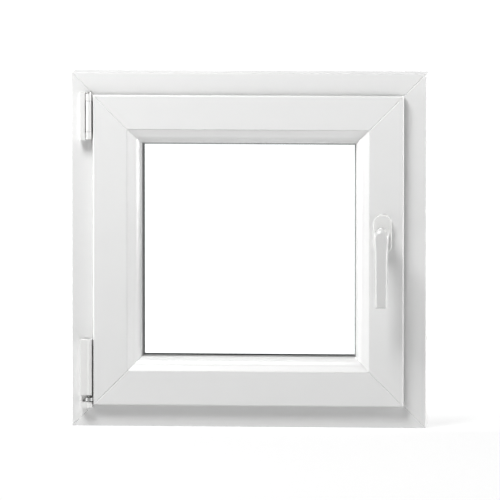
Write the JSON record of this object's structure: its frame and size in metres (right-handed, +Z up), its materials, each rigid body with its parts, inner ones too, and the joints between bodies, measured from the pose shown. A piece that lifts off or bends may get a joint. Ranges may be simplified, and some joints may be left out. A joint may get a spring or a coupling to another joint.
{
  "type": "tilt and turn window",
  "caption": "Square white plastic window with one inward-opening sash that turns on its left edge and tilts from its bottom edge, worked by a lever handle.",
  "frame": {"origin": "centre of the frame's bottom face, midway through the frame's depth", "axes": "+Z up, -Y towards the room, +X to the right seen from the room"},
  "size_m": [0.6, 0.1475, 0.6],
  "materials": {
    "white_profile": "smooth satin white PVC",
    "white_cover": "moulded white plastic",
    "white_metal": "white powder coat",
    "galvanised_steel": "galvanised",
    "silver_steel": "zinc plated, satin",
    "grey_seal": "matt dark grey rubber",
    "black_nylon": "moulded black nylon",
    "clear_glass": "clear float glass",
    "spacer_aluminium": "rolled aluminium",
    "black_sealant": "black sealant"
  },
  "bodies": {
    "frame": {"frame_left_jamb": "white_profile", "frame_right_jamb": "white_profile", "frame_head": "white_profile", "frame_sill": "white_profile", "frame_steel_cores": "galvanised_steel", "frame_stop_gasket": "grey_seal", "stay_bearing": "white_metal", "stay_pin": "silver_steel", "upper_hinge_cover": "white_cover", "corner_bearing": "white_metal", "corner_bearing_pin": "silver_steel", "lower_hinge_cover": "white_cover", "hinge_screws": "silver_steel", "striker_keeps": "silver_steel", "keep_screws": "silver_steel", "drain_caps": "white_cover"},
    "pivot": {"pivot_bush": "black_nylon"},
    "sash": {"sash_hinge_stile": "white_profile", "sash_lock_stile": "white_profile", "sash_top_rail": "white_profile", "sash_bottom_rail": "white_profile", "sash_steel_cores": "galvanised_steel", "sash_overlap_gasket": "grey_seal", "glass_inner_pane": "clear_glass", "glass_outer_pane": "clear_glass", "glass_spacer_bar": "spacer_aluminium", "glass_edge_seal": "black_sealant", "outer_glazing_gasket": "grey_seal", "inner_glazing_gasket": "grey_seal", "glazing_blocks": "black_nylon", "glazing_bead_left": "white_profile", "glazing_bead_right": "white_profile", "glazing_bead_top": "white_profile", "glazing_bead_bottom": "white_profile", "corner_band": "silver_steel", "corner_band_screws": "silver_steel", "stay_guide": "silver_steel", "gearbox_case": "silver_steel", "lock_faceplate": "silver_steel", "top_faceplate": "silver_steel", "bottom_faceplate": "silver_steel", "faceplate_screws": "silver_steel", "upper_corner_drive": "silver_steel", "lower_corner_drive": "silver_steel", "handle_rosette_base": "black_nylon", "handle_rosette_cap": "white_cover", "handle_screws": "silver_steel"},
    "stay": {"stay_arm": "silver_steel", "stay_stud": "silver_steel"},
    "handle": {"handle_grip": "white_metal", "handle_spindle": "silver_steel", "gear_pinion": "silver_steel"},
    "lock_rod": {"lock_rod": "silver_steel", "lock_rod_cams": "silver_steel"},
    "top_rod": {"top_rod": "silver_steel", "top_rod_cam": "silver_steel"},
    "bottom_rod": {"bottom_rod": "silver_steel", "bottom_rod_cam": "silver_steel"}
  },
  "joints": [
    {"name": "sash_turn", "type": "hinge", "parent": "frame", "child": "pivot", "pos_m": [-0.27, -0.046, 0.046], "axis": [0, 0, -1], "range_deg": [0, 90]},
    {"name": "sash_tilt", "type": "hinge", "parent": "pivot", "child": "sash", "pos_m": [-0.27, -0.046, 0.046], "axis": [1, 0, 0], "range_deg": [0, 8]},
    {"name": "stay_swing", "type": "hinge", "parent": "pivot", "child": "stay", "pos_m": [-0.27, -0.046, 0.5265], "axis": [0, 0, -1], "range_deg": [0, 16]},
    {"name": "handle_turn", "type": "hinge", "parent": "sash", "child": "handle", "pos_m": [0.228, -0.025, 0.33], "axis": [0, 1, 0], "range_deg": [0, 180]},
    {"name": "lock_rod_slide", "type": "slide", "parent": "sash", "child": "lock_rod", "axis": [0, 0, -1], "range_m": [0, 0.0299]},
    {"name": "top_rod_slide", "type": "slide", "parent": "sash", "child": "top_rod", "axis": [1, 0, 0], "range_m": [0, 0.0299]},
    {"name": "bottom_rod_slide", "type": "slide", "parent": "sash", "child": "bottom_rod", "axis": [-1, 0, 0], "range_m": [0, 0.0299]}
  ],
  "couplings": [
    {"joint": "stay_swing", "follows": "sash_tilt", "ratio": 1.988},
    {"joint": "lock_rod_slide", "follows": "handle_turn", "m_per_rad": 0.0095},
    {"joint": "top_rod_slide", "follows": "handle_turn", "m_per_rad": 0.0095},
    {"joint": "bottom_rod_slide", "follows": "handle_turn", "m_per_rad": 0.0095}
  ]
}
